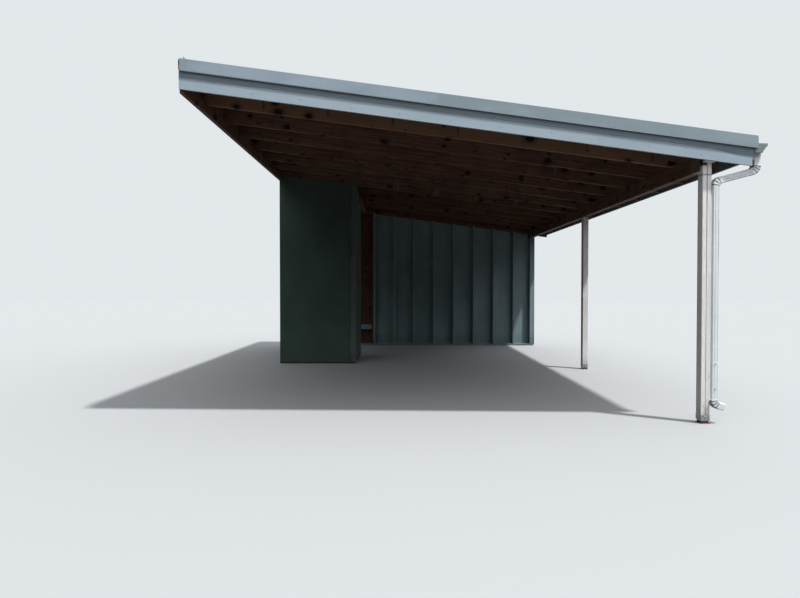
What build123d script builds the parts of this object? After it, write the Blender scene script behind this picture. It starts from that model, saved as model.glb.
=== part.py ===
# Carport that leans on a wall: one roof slope from a wall ledger to a doubled eave beam on
# posts, a boarded stud wall across the rear and a half open storage closet in the wall corner.
#
# Millimetres. While the pieces are drawn, x runs from the wall face to the eave, y from the
# front post to the rear wall and z up from the floor. The saved parts are centred on the
# footprint, so the origin is on the floor in the middle of the covered area.

import os
from math import atan, cos, radians, sin

from build123d import *

# Lumber
two_by = 38.0
one_by = 19.0
four_wide = 89.0
six_wide = 140.0
plywood = 12.0
eased_edge = 3.0

# Roof
slope = 0.134
wall_underside = 2890.0
plumb = 1 / cos(atan(slope))
rafter_pitch = 610.0
rafter_count = 13
front_rafter_y = -two_by
rear_rafter_y = front_rafter_y + rafter_pitch * (rafter_count - 1)
frame_end_y = rear_rafter_y + two_by
tail_x = 4815.0
eave_x = tail_x + one_by
sheet_end_x = eave_x + 24.0

# Ledger and the board behind the rafter ends
ledger_top = wall_underside
ledger_hole_radius = 6.5
ledger_hole_spacing = 1220.0
ledger_hole_count = 6

# Posts and eave beam
post_inner_x = 4429.0
post_outer_x = post_inner_x + 2 * two_by
beam_bottom = 2165.0
beam_top = beam_bottom + six_wide
inner_ply_top = 2200.0
outer_ply_top = 2405.0
rear_line_x = 4455.0
middle_post_y = 3560.0
post_width = 2 * two_by
head_block_reach = 14.0
head_block_bottom = 2224.0

# Steel post base
base_plate = 6.0
base_stand = 20.0
base_plate_side = 2.0
base_plate_end = 6.0
base_stand_inset = 6.0
saddle = 3.0
saddle_height = 76.0
post_foot = base_plate + base_stand + saddle

# Steel hanger that carries the front end of the beam
hanger_length = 125.0
hanger_height = 118.0
hanger_grip = 45.0

# Purlins and roof sheets
purlin_pitch = 610.0
first_field_purlin = 570.0
field_purlin_count = 7
sheet_count = 8
ribs_per_sheet = 4
rib_height = 12.0
rib_base = 60.0
rib_top = 22.0
sheet_metal = 1.0
sheet_gap = 0.5

# Front and rear edges of the roof
fascia_drop = 55.0
cover_metal = 3.0
cover_lip = one_by
bead_pitch = 13.0
bead_count = 5
bead_radius = 2.2
trim_metal = 2.0
trim_face = 104.0
trim_flange = 120.0
trim_kick = 4.0
trim_seam_x = 2186.0
trim_start_x = 10.0
rake_board_height = 76.0
rake_board_depth = plywood
eave_fascia_drop = 7.0
seam_gap = 0.5

# Wall flashing
flashing_metal = 1.0
flashing_rise = 60.0
flashing_reach = 130.0

# Gutter and downspout
gutter_top = 2371.0
gutter_width = 102.0
gutter_depth = 76.0
gutter_bottom = 64.0
gutter_metal = 1.2
gutter_lip = 9.0
ogee_foot = (66.0, 16.0)
ogee_middle = (81.0, 34.0)
ogee_head = (99.0, 50.0)
ogee_foot_radius = 26.0
ogee_head_radius = 30.0
gutter_rim_drop = 2.0
gutter_end_gap = 2.0
cap_proud = 0.8
outlet_x = 4880.0
spout_gap = 3.5
spout_y = 12.0
spout_width = 57.0
spout_depth = 76.0
spout_corner = 7.0
spout_wall = 3.2
spout_inner_corner = 4.0
spout_x = post_outer_x + spout_gap + spout_width / 2
flute_radius = 9.0
flute_depth = 2.0
wide_flutes = (-24.0, -8.0, 8.0, 24.0)
narrow_flutes = (-13.0, 13.0)
bend_radius = 55.0
bend_angle = 75.0
crimp_proud = 3.0
crimp_angle = 4.5
crimp_count = 7
crimp_inset = 1.5
outlet_drop = 96.0
spout_joint_z = 500.0
collar_height = 30.0
collar_proud = 1.0
shoe_z = 208.0
shoe_tip = 42.0
strap_metal = 1.5
strap_height = 25.0
strap_ear = 28.0
strap_levels = {"upper": 1808.0, "lower": 640.0}

# Rear wall
wall_inner_y = frame_end_y - four_wide
first_bay_stud_x = 1298.0
bay_stud_pitch = 402.0
bay_stud_count = 8
board_joint_step = 3
closet_stud_xs = [0.0, 406.0, 812.0, 1258.0]
rail_levels = {"low": 330.0, "middle": 1520.0, "high": 2490.0}
board_foot = 20.0
board_gap = 3.0
wall_gap = 2.0

# Closet
closet_width = 1170.0
closet_front_rafter = 7
closet_front_y = front_rafter_y + closet_front_rafter * rafter_pitch
closet_side_end_y = 5400.0
closet_front_studs = [0.0, 372.0, 744.0, 1120.0]
closet_side_studs = [4740.0, 5362.0]
corner_board_width = 86.0
torn_edge = [
    (5400.0, 2546.0),
    (5292.0, 2571.0),
    (5268.0, 2558.0),
    (5130.0, 2602.0),
    (5096.0, 2590.0),
    (4930.0, 2634.0),
    (4905.0, 2622.0),
    (4760.0, 2676.0),
    (4700.0, 2668.0),
    (4520.0, 2716.0),
]

# How far the roof's edge boards and their metal stand out from the end rafters
cover_proud = one_by + cover_metal
trim_proud = cover_proud + rake_board_depth

# Outline of the whole carport, which sets the shared origin
front_face_y = front_rafter_y - trim_proud - trim_kick
rear_face_y = frame_end_y + trim_proud + trim_kick
centre_x = (eave_x + gutter_width) / 2
centre_y = (front_face_y + rear_face_y) / 2


# Heights of the roof planes above a distance from the wall
def rafter_under(x):
    return wall_underside - slope * x


def rafter_over(x):
    return rafter_under(x) + six_wide * plumb


def purlin_over(x):
    return rafter_over(x) + two_by * plumb


# Upright block between two limits on each axis
def block(x_limits, y_limits, z_limits):
    size = [high - low for low, high in (x_limits, y_limits, z_limits)]
    middle = [(high + low) / 2 for low, high in (x_limits, y_limits, z_limits)]
    return Pos(*middle) * Box(*size)


# Piece whose outline is drawn in x and z, as wide as its two y limits
def across(points, y_limits):
    start, end = y_limits
    outline = make_face(Polyline([(x, start, z) for x, z in points], close=True))
    return extrude(outline, amount=end - start, dir=(0, 1, 0))


# Piece whose outline is drawn in y and z at the wall and runs down the roof between two x limits
def down_slope(outline, x_limits, height_at):
    start, end = x_limits
    face = Plane(origin=(start, 0, height_at(start)), x_dir=(0, 1, 0), z_dir=(1, 0, 0)) * outline
    run = Vector(end - start, 0, height_at(end) - height_at(start))
    return extrude(face, amount=run.length, dir=run.normalized())


# Closed outline from points, for down_slope
def outline_of(points):
    return make_face(Polyline(points, close=True))


# Save one node, centred on the footprint
def save(node, *pieces):
    moved = [piece.moved(Location((-centre_x, -centre_y, 0))) for piece in pieces]
    shape = moved[0] if len(moved) == 1 else Compound(children=moved)
    export_step(shape, f"parts/{node}.step")


# Wall side
def ledger_board():
    board = block((0, two_by), (front_rafter_y, frame_end_y), (ledger_top - four_wide, ledger_top))
    middle = (front_rafter_y + frame_end_y) / 2
    reach = ledger_hole_spacing * (ledger_hole_count - 1) / 2
    for index in range(ledger_hole_count):
        y = middle - reach + index * ledger_hole_spacing
        hole = Cylinder(ledger_hole_radius, 3 * two_by, rotation=(0, 90, 0))
        board -= Pos(two_by / 2, y, ledger_top - four_wide / 2) * hole
    return board


def wall_band_board():
    points = [
        (0, ledger_top),
        (one_by, ledger_top),
        (one_by, rafter_over(one_by)),
        (0, rafter_over(0)),
    ]
    return across(points, (front_rafter_y, frame_end_y))


def wall_flashing():
    top = purlin_over(0) + rib_height + sheet_metal
    points = [
        (0, top),
        (flashing_reach, top - slope * flashing_reach),
        (flashing_reach, top - slope * flashing_reach + flashing_metal),
        (flashing_metal, top - slope * flashing_metal + flashing_metal),
        (flashing_metal, top + flashing_rise),
        (0, top + flashing_rise),
    ]
    edge = trim_proud - trim_flange
    return across(points, (front_rafter_y - edge, frame_end_y + edge))


# Rafter with plumb ends, a level seat on the ledger and a birdsmouth over the eave beam
def rafter(y, seated):
    points = [(one_by, ledger_top), (two_by, ledger_top), (two_by, rafter_under(two_by))]
    if seated:
        points += [
            (post_inner_x, rafter_under(post_inner_x)),
            (post_inner_x, beam_top),
            (post_outer_x, beam_top),
            (post_outer_x, rafter_under(post_outer_x)),
        ]
    points += [(tail_x, rafter_under(tail_x)), (tail_x, rafter_over(tail_x)), (one_by, rafter_over(one_by))]
    return across(points, (y, y + two_by))


def purlin(centre):
    near, far = centre - four_wide / 2, centre + four_wide / 2
    points = [
        (near, rafter_over(near)),
        (far, rafter_over(far)),
        (far, purlin_over(far)),
        (near, purlin_over(near)),
    ]
    return across(points, (front_rafter_y - cover_proud, frame_end_y + cover_proud))


# Ribbed roof sheet: half a rib at both edges, so that neighbours meet on a crest
def roof_sheet(index):
    front = front_rafter_y - trim_proud
    rear = frame_end_y + trim_proud
    cover = (rear - front) / sheet_count
    pitch = cover / ribs_per_sheet
    start = front + index * cover
    under = [(start + sheet_gap / 2, rib_height), (start + rib_top / 2, rib_height)]
    for step in range(ribs_per_sheet):
        crest = start + step * pitch
        under.append((crest + rib_base / 2, 0))
        under.append((crest + pitch - rib_base / 2, 0))
        under.append((crest + pitch - rib_top / 2, rib_height))
        if step < ribs_per_sheet - 1:
            under.append((crest + pitch + rib_top / 2, rib_height))
    under.append((start + cover - sheet_gap / 2, rib_height))
    over = [(y, z + sheet_metal) for y, z in reversed(under)]
    return down_slope(outline_of(under + over), (flashing_metal, sheet_end_x), purlin_over)


# Fascia board under the purlin ends, at the front (side -1) or the rear (side +1)
def rake_fascia(side):
    face = front_rafter_y if side < 0 else frame_end_y
    y_limits = sorted((face, face + side * one_by))
    points = [
        (0, rafter_under(0) - fascia_drop),
        (tail_x, rafter_under(tail_x) - fascia_drop),
        (tail_x, rafter_over(tail_x)),
        (0, rafter_over(0)),
    ]
    return across(points, y_limits)


# Beaded metal cover of the fascia board, with a lip under its lower edge
def fascia_cover(side):
    back = (front_rafter_y if side < 0 else frame_end_y) + side * one_by
    face = back + side * cover_metal
    top = six_wide * plumb
    foot = -fascia_drop
    lip_end = back - side * cover_lip
    outline = outline_of([
        (back, top), (face, top), (face, foot - cover_metal), (lip_end, foot - cover_metal),
        (lip_end, foot), (back, foot),
    ])
    first_bead = top + two_by * plumb + rib_height + sheet_metal + trim_metal - trim_face - bead_pitch / 2
    for bead in range(bead_count):
        outline -= Pos(face, first_bead - bead * bead_pitch) * Circle(bead_radius)
    return down_slope(outline, (0, tail_x), rafter_under)


# Board behind the rake trim, which closes the purlin ends
def rake_board(side):
    back = (front_rafter_y if side < 0 else frame_end_y) + side * cover_proud
    end = eave_x - board_gap
    points = [
        (0, purlin_over(0) - rake_board_height),
        (end, purlin_over(end) - rake_board_height),
        (end, purlin_over(end)),
        (0, purlin_over(0)),
    ]
    return across(points, sorted((back, back + side * rake_board_depth)))


# Angle of folded metal over the sheet edge, with a drip kicked out along its foot
def rake_trim(side, x_limits):
    back = (front_rafter_y if side < 0 else frame_end_y) + side * trim_proud
    face = back + side * trim_metal
    flat = rib_height + sheet_metal
    foot = flat + trim_metal - trim_face
    inner = back - side * trim_flange
    outline = outline_of([
        (inner, flat), (back, flat), (back, foot + trim_kick), (face + side * (trim_kick - trim_metal), foot),
        (face + side * trim_kick, foot + trim_metal / 2), (face, foot + trim_kick + trim_metal),
        (face, flat + trim_metal), (inner, flat + trim_metal),
    ])
    return down_slope(outline, x_limits, purlin_over)


def eave_fascia():
    lower = rafter_under(tail_x) - eave_fascia_drop
    points = [
        (tail_x, lower),
        (eave_x, lower),
        (eave_x, purlin_over(eave_x)),
        (tail_x, purlin_over(tail_x)),
    ]
    return across(points, (front_rafter_y - cover_proud, frame_end_y + cover_proud))


# Ogee gutter: its back and bottom, its curved front, an outlet hole and end caps that stand
# proud of the section
def gutter():
    depth, width, bottom = gutter_depth, gutter_width, gutter_bottom
    rim = depth - gutter_rim_drop
    back = Polyline((0, depth), (0, 0), (bottom, 0), ogee_foot)
    ogee = RadiusArc(ogee_foot, ogee_middle, -ogee_foot_radius)
    ogee += RadiusArc(ogee_middle, ogee_head, ogee_head_radius)
    front = Polyline(ogee_head, (width, rim), (width - gutter_lip, rim))
    top = Line((width - gutter_lip, rim), (0, depth))
    profile = back.edges() + ogee.edges() + front.edges()
    skin = make_face(offset(Wire(profile), gutter_metal, side=Side.RIGHT).edges())
    cap = offset(make_face(profile + top.edges()), cap_proud)
    start = front_rafter_y - trim_proud + gutter_end_gap
    end = frame_end_y + trim_proud - gutter_end_gap
    frame = Plane(origin=(eave_x, end, gutter_top - depth), x_dir=(1, 0, 0), z_dir=(0, -1, 0))
    trough = extrude(frame * skin, amount=end - start)
    reach_x, reach_y = spout_width / 2 - spout_wall, spout_depth / 2 - spout_wall
    trough -= block(
        (outlet_x - reach_x, eave_x + bottom - 2 * gutter_metal),
        (spout_y - reach_y, spout_y + reach_y),
        (gutter_top - depth - gutter_metal, gutter_top - depth + 2 * gutter_metal),
    )
    back_sheet = split(trough, Plane.YZ.offset(eave_x + gutter_metal), keep=Keep.BOTTOM)
    rest = split(trough, Plane.YZ.offset(eave_x + gutter_metal), keep=Keep.TOP)
    bottom_sheet = split(rest, Plane.YZ.offset(eave_x + bottom), keep=Keep.BOTTOM)
    front_sheet = split(rest, Plane.YZ.offset(eave_x + bottom), keep=Keep.TOP)
    caps = [extrude(frame.offset(place) * cap, amount=gutter_metal) for place in (-gutter_metal, end - start)]
    return [back_sheet, bottom_sheet, front_sheet, *caps]


# Sections of the downspout
def spout_outline(proud=0.0):
    return RectangleRounded(spout_width + 2 * proud, spout_depth + 2 * proud, spout_corner + proud)


def spout_bore():
    return RectangleRounded(spout_width - 2 * spout_wall, spout_depth - 2 * spout_wall, spout_inner_corner)


def fluted_section():
    outline = spout_outline()
    reach = flute_radius - flute_depth
    for y in wide_flutes:
        for side in (-1, 1):
            outline -= Pos(side * (spout_width / 2 + reach), y) * Circle(flute_radius)
    for x in narrow_flutes:
        for side in (-1, 1):
            outline -= Pos(x, side * (spout_depth / 2 + reach)) * Circle(flute_radius)
    return outline - spout_bore()


# Crimped elbow that starts from a level section and turns about a bend axis beside it
def elbow(start_x, start_z, bend_side, turn):
    axis = Axis((bend_side * bend_radius, 0, 0), (0, turn, 0))
    shell = revolve(spout_outline(), axis, bend_angle)
    ring = revolve(spout_outline(crimp_proud), axis, crimp_angle)
    step = (bend_angle - crimp_angle - 2 * crimp_inset) / (crimp_count - 1)
    shell += [ring.rotate(axis, crimp_inset + index * step) for index in range(crimp_count)]
    shell -= revolve(spout_bore(), axis, bend_angle)
    return Pos(start_x, spout_y, start_z) * shell


bend = radians(bend_angle)
offset_run = ((outlet_x - spout_x) - 2 * bend_radius * (1 - cos(bend))) / sin(bend)
outlet_z = gutter_top - gutter_depth - outlet_drop
lower_elbow_z = outlet_z - 2 * bend_radius * sin(bend) - offset_run * cos(bend)


def downspout_upper_elbow():
    drop = extrude(Pos(outlet_x, spout_y, outlet_z) * (spout_outline() - spout_bore()), amount=outlet_drop)
    return drop + elbow(outlet_x, outlet_z, -1, 1)


def downspout_offset():
    start = (outlet_x - bend_radius * (1 - cos(bend)), spout_y, outlet_z - bend_radius * sin(bend))
    frame = Plane(origin=start, x_dir=(cos(bend), 0, -sin(bend)), z_dir=(-sin(bend), 0, -cos(bend)))
    return extrude(frame * fluted_section(), amount=offset_run)


def downspout_lower_elbow():
    return elbow(spout_x, lower_elbow_z, 1, 1)


# Pipe down the post, with a plain collar where its two lengths join
def downspout_pipe():
    pipe = extrude(Pos(spout_x, spout_y, shoe_z) * fluted_section(), amount=lower_elbow_z - shoe_z)
    collar = spout_outline(collar_proud) - spout_bore()
    return pipe + extrude(Pos(spout_x, spout_y, spout_joint_z) * collar, amount=collar_height)


def downspout_shoe():
    shoe = elbow(spout_x, shoe_z, 1, -1)
    end = (spout_x + bend_radius * (1 - cos(bend)), spout_y, shoe_z - bend_radius * sin(bend))
    frame = Plane(origin=end, x_dir=(cos(bend), 0, sin(bend)), z_dir=(sin(bend), 0, -cos(bend)))
    return shoe + extrude(frame * (spout_outline() - spout_bore()), amount=shoe_tip)


def downspout_strap(level):
    band = spout_outline(strap_metal) - spout_outline()
    strap = extrude(Pos(spout_x, spout_y, level) * band, amount=strap_height)
    ear = block(
        (post_outer_x, post_outer_x + strap_metal),
        (spout_y + spout_depth / 2 - spout_corner, spout_y + spout_depth / 2 + strap_ear),
        (level, level + strap_height),
    )
    return strap + ear


# Posts, their steel bases and the beam hanger
def upright(x, y, width, foot, top):
    timber = block((x, x + width), (y, y + four_wide), (foot, top))
    return chamfer(timber.edges().filter_by(Axis.Z), eased_edge)


def post_head_block():
    right = post_outer_x + head_block_reach
    return block((post_inner_x, right), (front_rafter_y, 0), (head_block_bottom, rafter_under(right)))


def post_base(x, y):
    plate = block(
        (x - base_plate_side, x + post_width + base_plate_side),
        (y - base_plate_end, y + four_wide + base_plate_end),
        (0, base_plate),
    )
    stand = block(
        (x + base_stand_inset, x + post_width - base_stand_inset),
        (y + base_stand_inset, y + four_wide - base_stand_inset),
        (base_plate, base_plate + base_stand),
    )
    seat = block((x, x + post_width), (y - saddle, y + four_wide + saddle), (post_foot - saddle, post_foot))
    near = block((x, x + post_width), (y - saddle, y), (post_foot, saddle_height))
    far = block((x, x + post_width), (y + four_wide, y + four_wide + saddle), (post_foot, saddle_height))
    return plate + stand + seat + near + far


def beam_ply(x):
    return block((x, x + two_by), (four_wide, frame_end_y), (beam_bottom, beam_top))


def beam_hanger():
    y_end = four_wide + hanger_length
    top = beam_bottom + hanger_height
    width = (post_inner_x - saddle, post_outer_x + saddle)
    hanger = block(width, (four_wide, y_end), (beam_bottom - saddle, beam_bottom))
    for x in (post_inner_x - saddle, post_outer_x):
        cheek = block((x, x + saddle), (four_wide - hanger_grip, y_end), (beam_bottom - saddle, top))
        hanger += cheek
    return hanger


# Rear wall
def rear_sill_plate():
    return block((0, rear_line_x), (wall_inner_y, frame_end_y), (0, two_by))


# Plate of a wall under the rafters, cut to the roof slope
def sloped_plate(x_limits, y_limits):
    near, far = x_limits
    thick = two_by * plumb
    points = [
        (near, rafter_under(near) - thick),
        (far, rafter_under(far) - thick),
        (far, rafter_under(far)),
        (near, rafter_under(near)),
    ]
    return across(points, y_limits)


# Stud from a sill to the sloping plate, its top cut to the slope, or level under the ledger
def stud(x_limits, y_limits):
    near, far = x_limits
    if near < two_by:
        return block(x_limits, y_limits, (two_by, ledger_top - four_wide))
    thick = two_by * plumb
    points = [
        (near, two_by),
        (far, two_by),
        (far, rafter_under(far) - thick),
        (near, rafter_under(near) - thick),
    ]
    return across(points, y_limits)


def wall_studs(positions):
    return [stud((x, x + two_by), (wall_inner_y, frame_end_y)) for x in positions]


# Boards on the outer side of the rear wall, joined over studs and cut to the slope under the fascia
def rear_boards(joints):
    boards = []
    for start, end in zip(joints, joints[1:]):
        near, far = start + board_gap / 2, end - board_gap / 2
        points = [
            (near, board_foot),
            (far, board_foot),
            (far, rafter_under(far) - fascia_drop - cover_metal),
            (near, rafter_under(near) - fascia_drop - cover_metal),
        ]
        boards.append(across(points, (frame_end_y, frame_end_y + plywood)))
    return boards


def closet_rails(level):
    rails = []
    for left, right in zip(closet_stud_xs, closet_stud_xs[1:]):
        y_limits = (wall_inner_y, wall_inner_y + two_by)
        rails.append(block((left + two_by, right), y_limits, (level, level + four_wide)))
    return rails


# Closet
frame_x = closet_width - plywood
side_frame_x = frame_x - four_wide
front_frame_end_y = closet_front_y + four_wide


def closet_front_panel():
    right = closet_width - corner_board_width - board_gap
    points = [
        (wall_gap, board_foot),
        (right, board_foot),
        (right, rafter_under(right)),
        (two_by, rafter_under(two_by)),
        (two_by, ledger_top - four_wide),
        (wall_gap, ledger_top - four_wide),
    ]
    return across(points, (closet_front_y - plywood, closet_front_y))


def closet_corner_board():
    left = closet_width - corner_board_width
    points = [
        (left, board_foot),
        (closet_width, board_foot),
        (closet_width, rafter_under(closet_width)),
        (left, rafter_under(left)),
    ]
    return across(points, (closet_front_y - one_by, closet_front_y))


# Side panel whose upper edge is torn away towards the rear
def closet_side_panel():
    corner_top = rafter_under(closet_width)
    points = [(closet_front_y, board_foot), (closet_side_end_y, board_foot)] + torn_edge
    points += [(closet_front_y, corner_top)]
    face = make_face(Polyline([(frame_x, y, z) for y, z in points], close=True))
    return extrude(face, amount=plywood, dir=(1, 0, 0))


def closet_front_frame():
    y_limits = (closet_front_y, front_frame_end_y)
    return [stud((x, x + two_by), y_limits) for x in closet_front_studs]


def closet_side_frame():
    return [stud((side_frame_x, frame_x), (y, y + two_by)) for y in closet_side_studs]


def build():
    os.makedirs("parts", exist_ok=True)
    save("ledger_board", ledger_board())
    save("wall_band_board", wall_band_board())
    save("wall_flashing", wall_flashing())
    save("front_rafter", rafter(front_rafter_y, False))
    common_ys = [front_rafter_y + index * rafter_pitch for index in range(1, rafter_count - 1)]
    save("common_rafters", *[rafter(y, True) for y in common_ys])
    save("rear_rafter", rafter(rear_rafter_y, True))
    purlin_centres = [four_wide / 2, tail_x - four_wide / 2]
    purlin_centres += [first_field_purlin + index * purlin_pitch for index in range(field_purlin_count)]
    save("purlins", *[purlin(centre) for centre in purlin_centres])
    save("roof_sheets", *[roof_sheet(index) for index in range(sheet_count)])
    for name, side in (("front", -1), ("rear", 1)):
        save(f"{name}_edge_boards", rake_fascia(side), rake_board(side))
        save(f"{name}_fascia_cover", fascia_cover(side))
    save("front_rake_trim_upper", rake_trim(-1, (trim_start_x, trim_seam_x - seam_gap)))
    save("front_rake_trim_lower", rake_trim(-1, (trim_seam_x, sheet_end_x)))
    save("rear_rake_trim", rake_trim(1, (trim_start_x, sheet_end_x)))
    save("eave_fascia", eave_fascia())
    save("gutter", *gutter())
    save("downspout_upper_elbow", downspout_upper_elbow())
    save("downspout_offset", downspout_offset())
    save("downspout_lower_elbow", downspout_lower_elbow())
    save("downspout_pipe", downspout_pipe())
    save("downspout_shoe", downspout_shoe())
    for name, level in strap_levels.items():
        save(f"downspout_strap_{name}", downspout_strap(level))
    save("front_post_inner_ply", upright(post_inner_x, 0, two_by, post_foot, inner_ply_top))
    save("front_post_outer_ply", upright(post_inner_x + two_by, 0, two_by, post_foot, outer_ply_top))
    save("front_post_base", post_base(post_inner_x, 0))
    save("post_head_block", post_head_block())
    save("beam_hanger", beam_hanger())
    save("eave_beam_inner_ply", beam_ply(post_inner_x))
    save("eave_beam_outer_ply", beam_ply(post_inner_x + two_by))
    save("middle_post", upright(rear_line_x, middle_post_y, post_width, post_foot, beam_bottom))
    save("middle_post_base", post_base(rear_line_x, middle_post_y))
    save("rear_corner_post", upright(rear_line_x, wall_inner_y, post_width, 0, beam_bottom))
    save("rear_sill_plate", block((0, rear_line_x), (wall_inner_y, frame_end_y), (0, two_by)))
    save("rear_top_plate", sloped_plate((two_by, post_inner_x), (wall_inner_y, frame_end_y)))
    bay_studs = [first_bay_stud_x + index * bay_stud_pitch for index in range(bay_stud_count)]
    save("rear_bay_studs", *wall_studs(bay_studs))
    save("rear_closet_studs", *wall_studs(closet_stud_xs))
    paint_edge_x = closet_stud_xs[-1] + two_by / 2
    joints = [paint_edge_x, *[x + two_by / 2 for x in bay_studs[board_joint_step::board_joint_step]]]
    save("rear_bay_boards", *rear_boards([*joints, rear_line_x + post_width]))
    save("rear_closet_board", *rear_boards([0, paint_edge_x]))
    for name, level in rail_levels.items():
        save(f"closet_rail_{name}", *closet_rails(level))
    sill_z = (0, two_by)
    save("closet_front_sill", block((0, frame_x), (closet_front_y, front_frame_end_y), sill_z))
    save("closet_side_sill", block((side_frame_x, frame_x), (front_frame_end_y, closet_side_end_y), sill_z))
    save("closet_front_plate", sloped_plate((two_by, frame_x), (closet_front_y, front_frame_end_y)))
    save("closet_side_plate", sloped_plate((side_frame_x, frame_x), (front_frame_end_y, wall_inner_y)))
    save("closet_front_studs", *closet_front_frame())
    save("closet_side_studs", *closet_side_frame())
    save("closet_front_panel", closet_front_panel())
    save("closet_corner_board", closet_corner_board())
    save("closet_side_panel", closet_side_panel())


build()
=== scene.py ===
# Lean-to carport: finishes, small fittings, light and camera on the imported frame.
# Metres. Fittings are placed from the ledger's back, the front post and the floor.
import math
import random

import bmesh
import bpy
from mathutils import Matrix, Vector


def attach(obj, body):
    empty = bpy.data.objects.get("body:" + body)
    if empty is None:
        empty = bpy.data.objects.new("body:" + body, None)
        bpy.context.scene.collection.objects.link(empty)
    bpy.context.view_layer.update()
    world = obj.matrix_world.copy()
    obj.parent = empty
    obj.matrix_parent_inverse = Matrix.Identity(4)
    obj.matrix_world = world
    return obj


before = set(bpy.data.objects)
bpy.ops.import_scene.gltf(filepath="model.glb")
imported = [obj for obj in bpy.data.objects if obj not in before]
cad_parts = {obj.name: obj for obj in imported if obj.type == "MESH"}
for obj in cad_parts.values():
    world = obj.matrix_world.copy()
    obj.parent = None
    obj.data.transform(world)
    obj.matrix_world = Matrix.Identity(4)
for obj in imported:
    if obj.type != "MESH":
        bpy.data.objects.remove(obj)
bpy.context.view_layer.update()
print("frame loaded,", len(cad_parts), "nodes")

setOut = {
    "ledgerShift": 2.468,     # ledger's back to the middle of the footprint
    "frontShift": 3.641,      # front post to the middle of the footprint
    "roofFall": 0.134,        # drop for each metre away from the ledger
    "rafterUnderside": 2.890,
    "rafterPitch": 0.610,
    "rafterCount": 13,
    "firstRafter": -0.038,
    "purlinPitch": 0.610,
    "firstPurlin": 0.570,
    "pitchedPurlins": 7,
    "eavePurlin": 4.7705,
    "framing": 0.178,         # rafter and purlin, square to the slope
    "sheet": 0.001,
    "studPitch": 0.402,
}
fall = setOut["roofFall"]
roofTilt = math.atan(fall)
sheetTop = setOut["framing"] / math.cos(roofTilt) + setOut["sheet"]
purlins = [setOut["firstPurlin"] + setOut["purlinPitch"] * i for i in range(setOut["pitchedPurlins"])]
purlins.append(setOut["eavePurlin"])


# from the ledger's back, the front post and the floor to the shared frame
def at(x, y, z):
    return Vector((x - setOut["ledgerShift"], y - setOut["frontShift"], z))


# height of the rafters' underside at a distance from the ledger's back
def rafterUnder(x):
    return setOut["rafterUnderside"] - fall * x


# step away from the ledger that follows the slope
def downRoof(step):
    return (step, 0, -step * fall)


# sRGB hex to the linear colour that a shader wants
def linearColour(code):
    channels = [int(code[i:i + 2], 16) / 255 for i in (1, 3, 5)]
    return [c / 12.92 if c <= 0.04045 else ((c + 0.055) / 1.055) ** 2.4 for c in channels] + [1.0]


# one shader node with its settings; a value that is a socket becomes a link
def addNode(tree, kind, sockets, out=0, **settings):
    node = tree.nodes.new("ShaderNode" + kind)
    for name, value in settings.items():
        setattr(node, name, value)
    for name, value in sockets.items():
        if isinstance(value, bpy.types.NodeSocket):
            tree.links.new(value, node.inputs[name])
        else:
            node.inputs[name].default_value = value
    return node.outputs[out] if node.outputs else node


# a material with an empty node tree
def newTree(name):
    material = bpy.data.materials.new(name)
    material.use_nodes = True
    material.node_tree.nodes.clear()
    return material, material.node_tree


# uneven pattern whose patches have a real size in metres along the turned axes
def mottle(tree, coords, size, detail=3.0, twist=0.0, turn=(0, 0, 0)):
    place = addNode(tree, "Mapping", {"Vector": coords, "Rotation": turn, "Scale": size}, vector_type="TEXTURE")
    return addNode(tree, "TexNoise", {
        "Vector": place, "Scale": 1.0, "Detail": detail, "Roughness": 0.58, "Distortion": twist})


# lays a colour over the tone where the mask is between low and high, up to the most
def layer(tree, tone, code, mask, low, high, most=1.0):
    share = addNode(tree, "MapRange", {0: mask, 1: low, 2: high, 3: 0.0, 4: most}, interpolation_type="SMOOTHSTEP")
    over = code if isinstance(code, bpy.types.NodeSocket) else linearColour(code)
    return addNode(tree, "Mix", {0: share, 6: tone, 7: over}, 2, data_type="RGBA")


# sizes in metres along the grain, through the board and across its face; a knot's core and ring
# are in its own radii
sawn = {
    "knotCell": (0.34, 0.40, 0.125), "knotOval": (0.25, 0.0, 0.125), "pinKnot": 0.0004,
    "core": (0.86, 1.04), "ring": (1.0, 2.4), "parting": 0.02,
    "bands": (0.55, 0.009, 0.009), "broad": (0.9, 0.045, 0.045), "sawMarks": (0.006, 0.06, 0.06),
    "patches": (0.32, 0.32, 0.32), "relief": 0.0012,
}


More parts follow.
